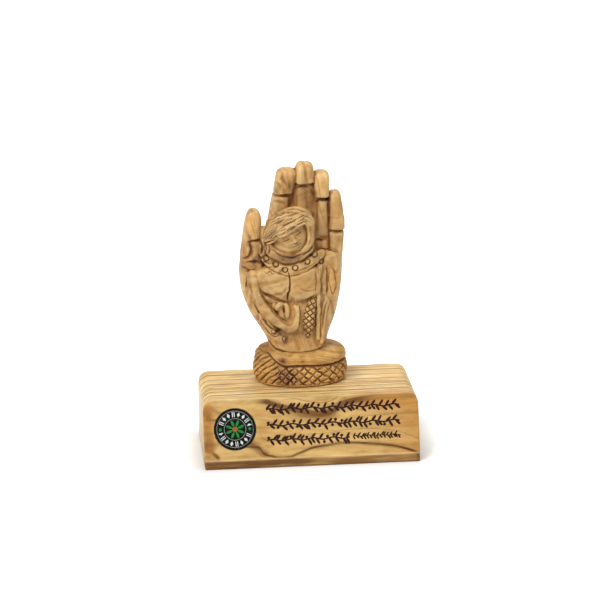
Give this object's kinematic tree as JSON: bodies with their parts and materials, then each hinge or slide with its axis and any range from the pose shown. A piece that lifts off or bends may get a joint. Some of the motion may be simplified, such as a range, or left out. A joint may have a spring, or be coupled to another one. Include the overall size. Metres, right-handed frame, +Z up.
{
  "type": "carved wooden hand sculpture",
  "caption": "Carved olive wood hand on a crosshatched foot, cradling a sleeping child in its palm, screwed to a slope-fronted wooden block with a round domed badge.",
  "frame": {"origin": "middle of the block's underside", "axes": "+Z up along the hand to its fingertips, -Y to the front with the badge and the palm, +X to the viewer's right"},
  "size_m": [0.107, 0.056, 0.1461],
  "materials": {
    "olive_block": "satin oiled",
    "olive_carving": "satin oiled",
    "screw_steel": "zinc plated",
    "badge_print": "gloss",
    "badge_resin": "clear"
  },
  "bodies": {
    "root": {"base_block": "olive_block", "carved_hand": "olive_carving", "fixing_screw": "screw_steel", "badge_plate": "badge_print", "badge_dome": "badge_resin"}
  },
  "joints": []
}
